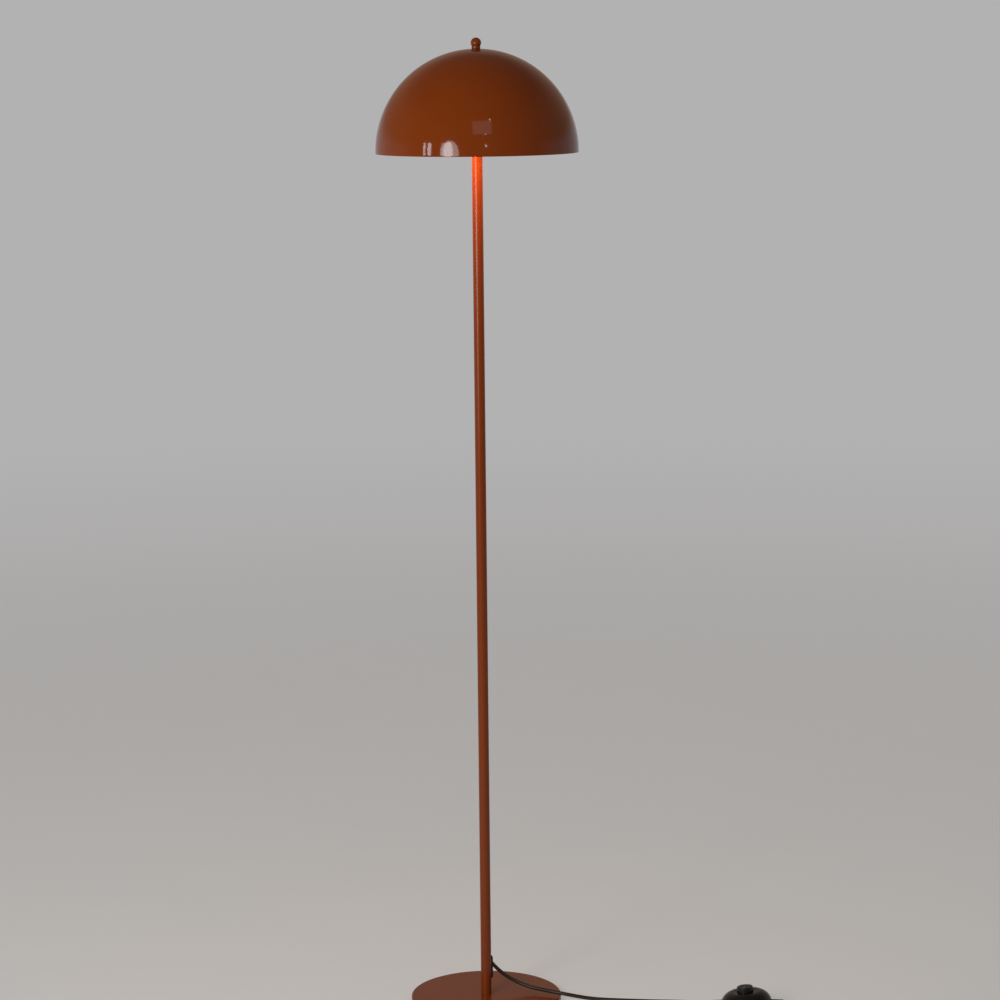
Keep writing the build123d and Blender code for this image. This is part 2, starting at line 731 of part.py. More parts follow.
def coil_turns():
    """Turns spiral in on the floor, climb in the innermost half turn and spiral out on top.

    Each half turn is drawn in or let out by half the turn pitch, about a centre that steps
    from side to side by as much, so neighbouring turns keep one pitch all round.
    """
    step = turn_pitch / 2
    middle = -step / 2
    turns = [Line((coil_radius, cord_diameter, coil_low), (coil_radius, 0, coil_low))]
    for half in range(coil_halves):
        side = 1 if half % 2 else -1
        centre = middle + step / 2 if side < 0 else middle - step / 2
        turns.append(half_turn(centre, coil_radius - half * step, side, coil_low))
    climb_radius = coil_radius - (coil_halves - 1) * step - step / 2
    left, right = middle - climb_radius, middle + climb_radius
    crest = hypot(climb_radius, layer_pitch / 2)
    half_way = (coil_low + coil_high) / 2
    turns.append(ThreePointArc((left, 0, coil_low), (middle, crest, half_way), (right, 0, coil_high)))
    for half in range(coil_halves - 1):
        side = 1 if half % 2 else -1
        centre = middle - step / 2 if side < 0 else middle + step / 2
        turns.append(half_turn(centre, climb_radius + step / 2 + half * step, side, coil_high))
    last = middle - step / 2
    diagonal = coil_radius * sin(radians(45))
    turns.append(ThreePointArc((last + coil_radius, 0, coil_high), (last + diagonal, -diagonal, coil_high),
                               (last, -coil_radius, coil_high)))
    turns.append(Line((last, -coil_radius, coil_high), (last - cord_diameter, -coil_radius, coil_high)))
    return Wire([curve.edge() for curve in turns])


def least_gap(path, samples=900):
    """Smallest space between a path's turns, less the cord's diameter."""
    points = [path.position_at(k / samples) for k in range(samples + 1)]
    apart = int(samples * 10 * cord_diameter / path.length)
    nearest = min((a - b).length for k, a in enumerate(points) for b in points[k + apart:])
    return nearest - cord_diameter


def make_coil():
    path = coil_turns()
    print(f"coil: least gap to itself {least_gap(path):.2f}")
    save("cord_coil", Pos(coil_x, coil_y, 0) * tube_along(path, cord_diameter, "cord_coil"))

    bundle = (coil_halves - 1) / 2 * turn_pitch + cord_diameter
    centre_x = coil_x - coil_radius + bundle / 2 - cord_radius
    inner_width = bundle + 2 * tie_side_gap
    inner_height = layer_pitch + cord_diameter + 2 * tie_gap
    outer = RectangleRounded(inner_width + 2 * tie_thickness, inner_height + 2 * tie_thickness, cord_radius)
    inner = RectangleRounded(inner_width, inner_height, cord_radius - tie_thickness)
    band = extrude(Plane.XZ * (outer - inner), tie_width / 2, both=True)
    save("cord_tie", Pos(centre_x, coil_y, (coil_low + coil_high) / 2) * band)


def make_plug():
    plug_place = Location((plug_x, plug_y, plug_height / 2)) * Rot(0, 0, plug_yaw)
    start = (coil_x - turn_pitch / 2 - cord_diameter, coil_y - coil_radius, coil_high)
    straight = (plug_place * Pos(-boot_length - boot_run_in, 0, 0)).position
    route = [(432.0, coil_y - coil_radius, coil_high), (416.5, -206.8, 8.6)]
    points = [start] + route + [straight, plug_place.position]
    save("cord_to_plug", routed_tube(points, cord_diameter, "cord_to_plug"))

    back = Plane.YZ * RectangleRounded(plug_neck_width, plug_neck_height, plug_corner)
    front = Plane.YZ.offset(plug_length) * RectangleRounded(plug_width, plug_height, plug_corner)
    body = loft([back, front])
    pins = []
    sleeves = []
    for side in (1, -1):
        place = Pos(plug_length, side * pin_spacing / 2, 0) * Rot(0, 90, 0)
        body -= place * bar(pin_radius, -pin_seat, 1)
        tip = bar(pin_radius, pin_sleeve_length, pin_length)
        tip = fillet(round_edges(tip, pin_length), pin_round)
        core = bar(pin_core_radius, -pin_seat, pin_sleeve_length)
        sleeve = tube(pin_sleeve_radius, pin_core_radius, -pin_seat, pin_sleeve_length)
        pins.append(plug_place * place * (tip + core))
        sleeves.append(plug_place * place * sleeve)
    save("plug_body", plug_place * body)
    save("plug_pins", *pins)
    save("plug_pin_sleeves", *sleeves)
    boot = turned(outline((0, 0), (boot_root_radius, 0), (boot_end_radius, boot_length), (0, boot_length)))
    boot -= bar(cord_radius + thread_clearance, -1, boot_length + 1)
    save("plug_boot", plug_place * Rot(0, -90, 0) * boot)


if __name__ == "__main__":
    make_base()
    make_pole()
    make_pole_cord()
    make_shade()
    bulb_top = make_lampholder()
    make_bulb(bulb_top)
    make_switch()
    make_switch_wires()
    make_cord_to_switch()
    make_cord_to_coil()
    make_coil()
    make_plug()
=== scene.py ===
"""Looks of the mushroom floor lamp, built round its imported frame. Metres, +Z up, -Y is the front."""

from math import cos, pi, radians, sin, tan

import bmesh
import bpy
from mathutils import Matrix, Vector


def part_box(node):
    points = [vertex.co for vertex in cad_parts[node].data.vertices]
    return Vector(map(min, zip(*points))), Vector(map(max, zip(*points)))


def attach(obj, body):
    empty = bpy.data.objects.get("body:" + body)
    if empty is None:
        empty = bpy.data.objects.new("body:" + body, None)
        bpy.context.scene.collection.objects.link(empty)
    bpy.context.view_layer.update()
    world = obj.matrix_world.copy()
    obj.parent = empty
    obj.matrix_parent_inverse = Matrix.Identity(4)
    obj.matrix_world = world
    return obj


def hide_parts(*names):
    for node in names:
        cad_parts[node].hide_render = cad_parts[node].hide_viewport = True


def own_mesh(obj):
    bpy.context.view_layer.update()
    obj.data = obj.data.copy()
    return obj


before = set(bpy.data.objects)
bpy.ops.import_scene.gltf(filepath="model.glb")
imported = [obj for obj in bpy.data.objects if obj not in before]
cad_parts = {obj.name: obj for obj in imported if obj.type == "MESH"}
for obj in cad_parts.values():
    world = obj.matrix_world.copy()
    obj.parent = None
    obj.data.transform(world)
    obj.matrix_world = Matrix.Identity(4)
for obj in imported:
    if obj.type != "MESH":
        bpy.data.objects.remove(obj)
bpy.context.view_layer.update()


# ---------------------------------------------------------------- camera
# The photograph is taken from 4.4 m away, a little above the shade's crown and looking
# slightly down through a long lens. The camera leans by half a degree.
def put(name, data):
    """An object of this data in the scene."""
    made = bpy.data.objects.new(name, data)
    bpy.context.scene.collection.objects.link(made)
    return made


eye = Vector((0.0286, -4.371, 1.462))
look_down = radians(8.9)
lean = radians(-0.575)
lens_in_frame_widths = 2.949

camera_data = bpy.data.cameras.new("camera")
camera_data.lens = lens_in_frame_widths * camera_data.sensor_width
camera = put("camera", camera_data)
tilt = Matrix.Rotation(pi / 2 - look_down, 4, "X") @ Matrix.Rotation(lean, 4, "Z")
camera.matrix_world = Matrix.Translation(eye) @ tilt
bpy.context.scene.camera = camera
bpy.context.scene.view_settings.view_transform = "Standard"


# ---------------------------------------------------------------- studio
# A plain pale floor that runs into a pale sky, which is dimmer overhead and on the camera's
# side. Windows at the front left, a dim panel and a soft overhead lamp light the object.
class Reading:
    """A number or colour that changes over a surface, so that sums on numbers read as sums."""

    def __init__(self, finish, socket):
        self.finish = finish
        self.socket = socket

    def sum_with(self, operation, *values):
        return self.finish.node("ShaderNodeMath", {"operation": operation}, *values)

    def __add__(self, other):
        return self.sum_with("ADD", self, other)

    def __sub__(self, other):
        return self.sum_with("SUBTRACT", self, other)

    def __rsub__(self, other):
        return self.sum_with("SUBTRACT", other, self)

    def __mul__(self, other):
        return self.sum_with("MULTIPLY", self, other)

    __radd__ = __add__
    __rmul__ = __mul__


class Finish:
    """The nodes of one surface finish. They come from node(), and end in coat()."""

    def __init__(self, name, owner=None):
        self.owner = owner or bpy.data.materials.new(name)
        self.owner.use_nodes = True
        self.tree = self.owner.node_tree
        self.tree.nodes.clear()

    def node(self, kind, settings, *values, output=0, **named):
        """A node with its settings, then the values or links of its sockets by order or by name."""
        made = self.tree.nodes.new(kind)
        for setting, value in settings.items():
            setattr(made, setting, value)
        for key, value in list(enumerate(values)) + list(named.items()):
            name = key if isinstance(key, int) else key.replace("_", " ")
            if isinstance(value, Reading):
                self.tree.links.new(value.socket, made.inputs[name])
            elif value is not None:
                made.inputs[name].default_value = value
        return Reading(self, made.outputs[output]) if made.outputs else None

    def place(self, kind="Object"):
        """Where a point of the surface lies, in the lamp's frame, in metres."""
        return self.node("ShaderNodeTexCoord", {}, output=kind)

    def cloud(self, scale, detail=2.0, stretch=(1, 1, 1)):
        """Soft noise from 0 to 1, with scale in waves per metre."""
        where = self.node("ShaderNodeVectorMath", {"operation": "MULTIPLY"}, self.place(), stretch)
        return self.node("ShaderNodeTexNoise", {}, Vector=where, Scale=scale, Detail=detail)

    def ramp(self, reading, low, high):
        """A share that climbs smoothly from 0 to 1 as a reading goes from low to high."""
        return self.node("ShaderNodeMapRange", {"interpolation_type": "SMOOTHSTEP"}, reading, low, high)

    def blend(self, share, first, second):
        """A colour between two, by a share that changes over the surface."""
        return self.node("ShaderNodeMix", {"data_type": "RGBA"}, share, None, None, None, None, None,
                         first, second, output=2)

    def relief(self, height, depth, under=None):
        """A surface raised by a height from 0 to 1 times a depth in metres."""
        return self.node("ShaderNodeBump", {}, Height=height, Distance=depth, Normal=under)

    def coat(self, **sockets):
        """The Principled shader that the finish ends in."""
        shader = self.node("ShaderNodeBsdfPrincipled", {}, **sockets)
        self.node("ShaderNodeOutputMaterial", {}, shader)
        return self.owner


def sky_colour(finish, direction):
    """Pale at the horizon behind the lamp and warm above it, dimmer in front and overhead."""
    forward = finish.node("ShaderNodeSeparateXYZ", {}, direction, output="Y")
    up = finish.node("ShaderNodeSeparateXYZ", {}, direction, output="Z")
    behind = finish.blend(finish.ramp(up, 0.04, 0.20), sky_back, sky_warm)
    around = finish.blend(finish.ramp(forward, -0.45, 0.15), sky_front, behind)
    return finish.blend(finish.ramp(up, 0.40, 0.75), around, sky_overhead)


def window(name, azimuth, distance, height, wide, tall, radiance, shape="RECTANGLE"):
    """Bright panel at a compass angle from the front, left positive, that faces the shade."""
    data = bpy.data.lights.new(name, "AREA")
    data.shape = shape
    data.size = wide
    data.size_y = tall
    data.energy = radiance * pi * wide * tall * (pi / 4 if shape == "ELLIPSE" else 1)
    data.color = daylight
    turn = radians(azimuth)
    centre = Vector((-sin(turn) * distance, -cos(turn) * distance, height))
    facing = (shade_middle - centre).to_track_quat("-Z", "Y")
    lamp = put(name, data)
    lamp.matrix_world = Matrix.Translation(centre) @ facing.to_matrix().to_4x4()
    return lamp


sky_back = (0.45, 0.445, 0.45, 1)
sky_warm = (0.33, 0.25, 0.19, 1)
sky_front = (0.16, 0.155, 0.15, 1)
sky_overhead = (0.12, 0.115, 0.11, 1)
world = bpy.data.worlds.new("sky")
sky = Finish("sky", world)
sky_light = sky.node("ShaderNodeBackground", {}, sky_colour(sky, sky.place("Generated")), 1.0)
sky.node("ShaderNodeOutputWorld", {}, sky_light)
bpy.context.scene.world = world
world.cycles.sampling_method = "NONE"

daylight = (0.93, 0.96, 1.0)
shade_middle = Vector((0, 0, 1.35))
# The numbers are each one's angle, distance, height, width, tallness and radiance.
window("window_strip", 59.7, 3.0, 1.50, 0.13, 0.62, 12)
window("window_left", 53.5, 3.0, 1.50, 0.22, 0.62, 13)
window("window_curtained", 33.5, 3.0, 1.50, 0.65, 0.74, 2.5)
window("window_arched", 30.0, 3.0, 1.32, 1.10, 1.38, 7, "ELLIPSE")
window("window_core", 31.5, 3.0, 1.32, 0.60, 1.25, 9, "ELLIPSE")
window("dim_panel", -6.6, 6.4, 4.75, 2.60, 1.90, 0.9)
window("lamp_streak", -17.0, 3.2, 3.65, 0.05, 0.22, 12)
window("small_lamp_high", -10.0, 3.2, 2.48, 0.06, 0.06, 9)
window("small_lamp_low", -10.3, 3.2, 1.76, 0.08, 0.08, 22)
soft_overhead = window("soft_overhead", 30, 1.2, 3.60, 2.40, 2.40, 0.55)
soft_overhead.visible_camera = False
soft_overhead.visible_glossy = False


def mesh_of(name, form):
    """The form as a mesh. The form itself is used up."""
    mesh = bpy.data.meshes.new(name)
    form.to_mesh(mesh)
    form.free()
    return mesh


def pale_floor(radius, fade_from, fade_to):
    """Matt pale floor that fades into the sky, so that no horizon shows."""
    form = bmesh.new()
    bmesh.ops.create_circle(form, cap_ends=True, segments=64, radius=radius)
    mesh = mesh_of("floor", form)
    finish = Finish("floor")
    grain = finish.cloud(7, 3)
    colour = finish.blend(grain, (0.70, 0.685, 0.665, 1), (0.74, 0.725, 0.705, 1))
    matt = finish.node("ShaderNodeBsdfPrincipled", {}, Base_Color=colour, Roughness=0.6)
    seen = finish.node("ShaderNodeLightPath", {}, output="Is Camera Ray")
    for ray in ("Is Glossy Ray", "Is Transmission Ray"):
        seen = seen + finish.node("ShaderNodeLightPath", {}, output=ray)
    lift = finish.node("ShaderNodeEmission", {}, Color=(0.70, 0.69, 0.68, 1), Strength=1.0)
    lifted = finish.node("ShaderNodeMixShader", {}, seen * 0.40, matt, lift)
    outward = finish.node("ShaderNodeVectorMath", {"operation": "NORMALIZE"}, finish.place())
    far_sky = finish.node("ShaderNodeEmission", {}, Color=sky_colour(finish, outward), Strength=1.0)
    distance = finish.node("ShaderNodeVectorMath", {"operation": "LENGTH"}, finish.place(), output="Value")
    fade = finish.ramp(distance, fade_from, fade_to)
    mixed = finish.node("ShaderNodeMixShader", {}, fade, lifted, far_sky)
    finish.node("ShaderNodeOutputMaterial", {}, mixed)
    finish.owner.cycles.emission_sampling = "NONE"
    mesh.materials.append(finish.owner)
    floor = put("floor", mesh)


pale_floor(200.0, 0.8, 7.0)


# ---------------------------------------------------------------- base
# A steel pressing, 230 mm across, with a rounded edge, sits over a cast weight. A ring of
# soft foam under the weight stands on the floor, and a nut in its middle holds the pole.
def soften(corners, steps=6):
    """Outline through radius, height and rounding of each corner, each rounded corner as an arc."""
    outline = []
    for index, (radius, height, rounding) in enumerate(corners):
        here = Vector((radius, height))
        if rounding == 0:
            outline.append(here)
            continue
        before = (Vector(corners[index - 1][:2]) - here).normalized()
        after = (Vector(corners[(index + 1) % len(corners)][:2]) - here).normalized()
        half = before.angle(after) / 2
        reach = rounding / tan(half)
        middle = here + (before + after).normalized() * rounding / sin(half)
        first = here + before * reach - middle
        turn = first.angle_signed(here + after * reach - middle)
        for step in range(steps + 1):
            outline.append(middle + Matrix.Rotation(-turn * step / steps, 2) @ first)
    return outline


def turned(outline, place=Matrix(), sides=96, shaping=None):
    """Closed outline turned about an axis; shaping changes a radius by its height and angle."""
    form = bmesh.new()
    rings = []
    for side in range(sides):
        angle = 2 * pi * side / sides
        ring = []
        for radius, height in outline:
            reach = shaping(radius, height, angle) if shaping else radius
            ring.append(form.verts.new(place @ Vector((reach * cos(angle), reach * sin(angle), height))))
        rings.append(ring)
    on_axis = [abs(radius) < 1e-7 for radius, height in outline]
    for ring, following in zip(rings, rings[1:] + rings[:1]):
        for index in range(len(outline)):
            if not (on_axis[index] and on_axis[index - 1]):
                form.faces.new((ring[index], ring[index - 1], following[index - 1], following[index]))
    bmesh.ops.remove_doubles(form, verts=form.verts, dist=1e-6)
    bmesh.ops.dissolve_degenerate(form, edges=form.edges, dist=1e-7)
    return form


def add_piece(name, form, finishes, body, nodes, crease=35):
    """A finished mesh as a piece that stands for its CAD nodes and rides on a body."""
    bmesh.ops.recalc_face_normals(form, faces=form.faces)
    mesh = mesh_of(name, form)
    for finish in finishes:
        mesh.materials.append(finish)
    mesh.shade_smooth()
    mesh.set_sharp_from_angle(angle=radians(crease))
    piece = put(name, mesh)
    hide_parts(*nodes)
    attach(piece, body)
    return piece


def dress(finish, *nodes):
    """The same finish on CAD pieces whose shape is kept."""
    for node in nodes:
        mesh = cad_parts[node].data
        mesh.materials.clear()
        mesh.materials.append(finish)


def burnt_orange(name, ripple, dullness):
    """Gloss lacquer on steel: faint mottle, orange-peel skin, a few dull smears, spinning ripple."""
    finish = Finish(name)
    mottle = finish.cloud(9, 3)
    colour = finish.blend(mottle, (0.194, 0.0315, 0.0016, 1), (0.220, 0.0365, 0.0022, 1))
    smear = finish.cloud(26, 4, (1, 1, 0.35))
    roughness = smear * 0.05 + finish.cloud(420, 2) * 0.02 + dullness
    skin = finish.relief(finish.cloud(850, 1), 0.000010)
    wave = finish.relief(finish.cloud(70, 1), 0.00003, skin)
    rings = finish.relief(finish.cloud(150, 2, (0.02, 0.02, 1)), ripple, wave)
    return finish.coat(Base_Color=colour, Roughness=roughness, Normal=rings, IOR=1.35)


def zinc():
    """Zinc-plated steel, with the faint rings that turning leaves."""
    finish = Finish("zinc_steel")
    cloudy = finish.cloud(160, 3)
    colour = finish.blend(cloudy, (0.44, 0.44, 0.43, 1), (0.60, 0.60, 0.58, 1))
    rings = finish.cloud(900, 1, (0.05, 0.05, 1))
    return finish.coat(Base_Color=colour, Metallic=1.0, Roughness=cloudy * 0.2 + 0.28,
                       Normal=finish.relief(rings, 0.00002))


def clouded(name, dark, light, scale, detail, dulling, roughness, depth=0, **sockets):
    """Surface clouded in its colour and its polish, and in its relief where that has a depth."""
    finish = Finish(name)
    cloudy = finish.cloud(scale, detail)
    colour = finish.blend(cloudy, dark, light)
    polish = cloudy * dulling + roughness
    if depth:
        sockets["Normal"] = finish.relief(cloudy, depth)
    return finish.coat(Base_Color=colour, Roughness=polish, **sockets)


def foam():
    """Black closed-cell foam."""
    finish = Finish("foam_pad")
    cell = finish.node("ShaderNodeTexVoronoi", {}, Vector=finish.place(), Scale=900)
    colour = finish.blend(cell, (0.035, 0.035, 0.036, 1), (0.014, 0.014, 0.014, 1))
    return finish.coat(Base_Color=colour, Roughness=0.95, Normal=finish.relief(cell, 0.0003))


lacquer = burnt_orange("orange_lacquer", 0.000002, 0.20)
plated = zinc()
cover_low, cover_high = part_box("base_cover")
base_radius = cover_high.x
edge_rounding = 0.002
cover_wall = 0.0008
nipple_hole = 0.005
flat_to = base_radius - 0.005
cover_inside = base_radius - cover_wall
cover_roof = cover_high.z - cover_wall
cover_outline = soften([
    (nipple_hole, cover_high.z, 0), (flat_to, cover_high.z, 0), (base_radius, cover_high.z, edge_rounding),
    (base_radius, cover_low.z, 0.0003), (cover_inside, cover_low.z, 0.0003),
    (cover_inside, cover_roof, edge_rounding - cover_wall), (nipple_hole, cover_roof, 0),
])
add_piece("base_pressing", turned(cover_outline, sides=160), [lacquer], "stand",
          ["base_cover"])
iron = clouded("cast_iron", (0.045, 0.045, 0.047, 1), (0.10, 0.10, 0.10, 1), 900, 4, 0.3, 0.55, 0.0004,
               Metallic=0.4)
dress(iron, "base_weight")
dress(foam(), "base_pad")
dress(plated, "base_washer", "base_nut", "base_nipple")


# ---------------------------------------------------------------- pole
# Four lengths of 16 mm steel tube screw end to end on threaded nipples, and a short head
# tube stands over the lampholder's bracket. A fine chamfer at each end leaves a thin seam.
def tube_outline(low, high):
    """Wall of a tube, with eased outer edges and a ring near each end that keeps its shine straight."""
    eased = pole_radius - end_chamfer
    return soften([
        (eased, low, 0), (pole_radius, low + end_chamfer, 0.0003), (pole_radius, low + end_ring, 0),
        (pole_radius, high - end_ring, 0), (pole_radius, high - end_chamfer, 0.0003), (eased, high, 0),
        (pole_bore, high, 0), (pole_bore, low, 0),
    ], steps=3)


def loft(rings):
    """Form through rings of points, closed at both ends."""
    form = bmesh.new()
    rings = [[form.verts.new(point) for point in ring] for ring in rings]
    for ring, following in zip(rings, rings[1:]):
        for index in range(len(ring)):
            form.faces.new((ring[index], ring[index - 1], following[index - 1], following[index]))
    form.faces.new(rings[0])
    form.faces.new(rings[-1])
    return form


def stadium_bar(tall, wide, near, far, middle, direction):
    """Bar with a tall, round-ended section, from near to far along a level direction."""
    across = Vector((-direction.y, direction.x, 0))
    straight = (tall - wide) / 2
    rings = []
    for reach in (near, far):
        ring = []
        for step in range(26):
            angle = pi * (step % 13) / 12 + (0 if step < 13 else pi)
            up = sin(angle) * wide / 2 + (straight if step < 13 else -straight)
            ring.append(direction * reach + across * cos(angle) * wide / 2 + Vector((0, 0, middle + up)))
        rings.append(ring)
    form = loft(rings)
    bmesh.ops.recalc_face_normals(form, faces=form.faces)
    return form


def carve(piece, form):
    """Takes the solid of a form out of a piece."""
    cutter = put("cutter", mesh_of("cutter", form))
    carving = piece.modifiers.new("carving", "BOOLEAN")
    carving.operation = "DIFFERENCE"
    carving.solver = "EXACT"
    carving.object = cutter
    carved = bpy.data.meshes.new_from_object(piece.evaluated_get(bpy.context.evaluated_depsgraph_get()))
    piece.modifiers.clear()
    carved.set_sharp_from_angle(angle=radians(35))
    piece.data = carved
    bpy.data.objects.remove(cutter)


pole_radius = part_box("pole_tube_2")[1].x
pole_bore = 0.0068
end_chamfer = 0.00035
end_ring = 0.0020
outlet_direction = Vector((cos(radians(30)), sin(radians(30)), 0))
outlet_middle = 0.050
slot_tall = 0.031
slot_wide = 0.0072
slot_from, slot_to = 0.002, 0.010
for tube in ("pole_tube_1", "pole_tube_2", "pole_tube_3", "pole_tube_4", "head_tube"):
    low, high = (corner.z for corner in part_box(tube))
    made = add_piece(tube + "_steel", turned(tube_outline(low, high)), [lacquer], "stand",
                     [tube])
    if tube == "pole_tube_1":
        slot_cutter = stadium_bar(slot_tall, slot_wide, slot_from, slot_to, outlet_middle, outlet_direction)
        carve(made, slot_cutter)
dress(plated, "tube_bushes", "joining_nipples", "head_bush", "top_stud")


# ---------------------------------------------------------------- cord outlet
# A tall moulded insert snaps into the slot near the pole's foot, with the cord's hole
# slanting down through it.
def moulded(name, colour, roughness, grain_depth=0.00002):
    """Moulded plastic or rubber with a fine spark-eroded grain and a little dust."""
    finish = Finish(name)
    dust = finish.cloud(90, 4)
    dusty = [share * 1.35 + 0.001 for share in colour[:3]] + [1]
    surface = finish.relief(finish.cloud(3800, 2), grain_depth)
    return finish.coat(Base_Color=finish.blend(dust, colour, dusty), Roughness=dust * 0.12 + roughness,
                       Normal=surface, IOR=1.4)


dress(moulded("outlet_plastic", (0.012, 0.0085, 0.006, 1), 0.38), "cord_outlet")


# ---------------------------------------------------------------- cord
# A dark brown two-core lead, 5.8 mm thick. It leaves the pole by the outlet, dips to the
# base, crosses its edge and runs over the floor to the foot switch.
def on_slant(distance):
    """Point of the slant that the cord leaves the pole by."""
    return outlet_direction * distance + Vector((0, 0, cord_bend_height - distance / tan(cord_slant)))


def in_switch(along):
    """Point on the line of the switch's two sleeves."""
    return switch_place @ Vector((along, 0, sleeve_height))


def add_cord(name, points, diameter, finish, slot, *nodes):
    """Round cord whose one smooth line follows its route's points."""
    data = bpy.data.curves.new(name, "CURVE")
    data.dimensions = "3D"
    spline = data.splines.new("NURBS")
    spline.points.add(len(points) - 1)
    for knot, point in zip(spline.points, points):
        knot.co = (*point, 1)
    spline.order_u = 3
    spline.use_endpoint_u = True
    spline.resolution_u = 8
    data.bevel_depth = diameter / 2
    data.bevel_resolution = 6
    data.use_fill_caps = True
    data.materials.append(finish)
    made = put(name, data)
    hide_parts(*nodes)
    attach(made, "stand")
    return made


def cord_brown():
    """Soft brown sheath, slightly scuffed, with a fine extruded grain."""
    finish = Finish("cord_sheath")
    scuff = finish.cloud(60, 4)
    colour = finish.blend(scuff, (0.018, 0.009, 0.0035, 1), (0.030, 0.015, 0.006, 1))
    return finish.coat(Base_Color=colour, Roughness=scuff * 0.18 + 0.36,
                       Normal=finish.relief(finish.cloud(2600, 2), 0.00003))


cord_diameter = 0.0058
cord_slant = radians(40)
cord_bend_height = 0.068
switch_radius = 0.038
switch_chamfer = 0.0008
switch_tilt = radians(6)
switch_lift = (switch_radius - switch_chamfer) * sin(switch_tilt)
switch_place = Matrix.Translation((0.396, -0.062, switch_lift))
switch_place = switch_place @ Matrix.Rotation(radians(-18), 4, "Z") @ Matrix.Rotation(-switch_tilt, 4, "Y")
sleeve_height = 0.007
sleeve_length = 0.020
cord_end_in_switch = 0.0338
sheath = cord_brown()
route = [on_slant(0.011), on_slant(0.0232)] + [Vector(point) / 1000 for point in (
    (43.0, 12.0, 24.5), (67.5, 4.5, 16.4), (90.5, -7.0, 15.0), (113.0, -19.0, 14.2),
    (137.0, -19.5, 9.2), (160.0, -16.5, 4.1), (184.0, -19.5, 2.95), (222.0, -25.0, 2.95),
    (260.0, -29.5, 2.95), (294.0, -32.0, 2.95),
)] + [in_switch(-switch_radius - sleeve_length - 0.0176), in_switch(-cord_end_in_switch)]
to_switch = add_cord("cord_pole_to_switch", route, cord_diameter, sheath, "cord_sheath", "cord_to_switch")
dress(sheath, "pole_cord")


# ---------------------------------------------------------------- lampholder
# A steel strip clamped under the head tube carries the lampholder beside the pole. Its cap
# and shell are black phenolic, and a porcelain block holds the brass screw shell and contact.
def thread(pitch, depth, low, high):
    """Shaping that winds a rounded thread round a wall between two heights."""
    def wound(radius, height, angle):
        fade = max(0.0, min(1.0, (height - low) / pitch * 2, (high - height) / pitch * 2))
        return radius + depth * fade * cos(2 * pi * height / pitch - angle)
    return wound


def wall(radius, low, high, count=64):
    """Points up a straight wall, close enough to carry a thread."""
    return [(radius, low + (high - low) * step / count, 0) for step in range(count + 1)]


def groove(radius, height, half, depth):
    """Corners of a shallow ring cut into a wall, from the top down."""
    return [(radius, height + half, 0), (radius - depth, height + half / 2, 0),
            (radius - depth, height - half / 2, 0), (radius, height - half, 0)]


def phenolic():
    """Black phenolic moulding with a dull polish."""
    finish = Finish("holder_black")
    cloudy = finish.cloud(220, 4)
    colour = finish.blend(cloudy, (0.010, 0.0095, 0.009, 1), (0.019, 0.018, 0.017, 1))
    return finish.coat(Base_Color=colour, Roughness=cloudy * 0.16 + 0.24,
                       Normal=finish.relief(finish.cloud(1500, 2), 0.00001))


def bright_metal(name, dark, light, roughness):
    """Pressed metal, cloudy with handling."""
    return clouded(name, dark, light, 300, 4, 0.22, roughness, 0.00002, Metallic=1.0)


def insulation(name, dark, light):
    """Wire insulation, lightly marked."""
    return clouded(name, dark, light, 500, 2, 0.1, 0.38, 0.00002)


cap_low, cap_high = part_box("holder_cap")
holder_middle = (cap_low + cap_high) / 2
holder_place = Matrix.Translation((holder_middle.x, holder_middle.y, 0))
holder_radius = (cap_high.x - cap_low.x) / 2
holder_inside = holder_radius - 0.002
holder_bore = 0.005
cap_neck = 0.010
cap_shoulder = cap_low.z + 0.006
cap_ceiling = cap_high.z - 0.005
grip_ribs = 36
grip_depth = 0.0004
grip_ease = 0.0002
grip_low = cap_low.z + 0.0007
grip_high = cap_low.z + 0.0053


def grip(radius, height, angle):
    """Upright ribs round the cap's lower band."""
    on_band = radius > holder_inside + 0.001 and grip_low < height < grip_high
    return radius - grip_depth * (0.5 - 0.5 * cos(grip_ribs * angle)) if on_band else radius


band = [(holder_radius, height, 0) for height in
        (grip_high + grip_ease, grip_high - grip_ease, grip_low + grip_ease, grip_low - grip_ease)]
cap_outline = soften([
    (holder_bore, cap_high.z, 0), (cap_neck, cap_high.z, 0.0006), (cap_neck, cap_high.z - 0.002, 0.0008),
    (holder_radius, cap_shoulder, 0.0003), *band, (holder_radius, cap_low.z, 0.0002),
    (holder_inside, cap_low.z, 0), (holder_inside, cap_shoulder, 0), (cap_neck - 0.002, cap_ceiling, 0),
    (holder_bore, cap_ceiling, 0),
], steps=4)
black = phenolic()
brass = bright_metal("contact_brass", (0.50, 0.33, 0.11, 1), (0.72, 0.51, 0.21, 1), 0.24)
add_piece("holder_cap_moulding", turned(cap_outline, holder_place, 288, grip), [black], "stand",
          ["holder_cap"])

shell_low, shell_high = (corner.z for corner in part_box("holder_shell"))
mouth_radius = 0.0144
mouth_top = shell_low + 0.0016
groove_half = 0.0008
groove_depth = 0.0005
shell_outline = soften([
    (holder_radius, shell_high, 0.0002),
    *groove(holder_radius, shell_low + 0.0105, groove_half, groove_depth),
    *groove(holder_radius, shell_low + 0.0075, groove_half, groove_depth),
    (holder_radius, shell_low, 0.001), (mouth_radius, shell_low, 0.0004), (mouth_radius, mouth_top, 0),
    (holder_inside, mouth_top, 0), (holder_inside, shell_high, 0),
], steps=4)
add_piece("holder_shell_moulding", turned(shell_outline, holder_place, 128), [black], "stand",
          ["holder_shell"])

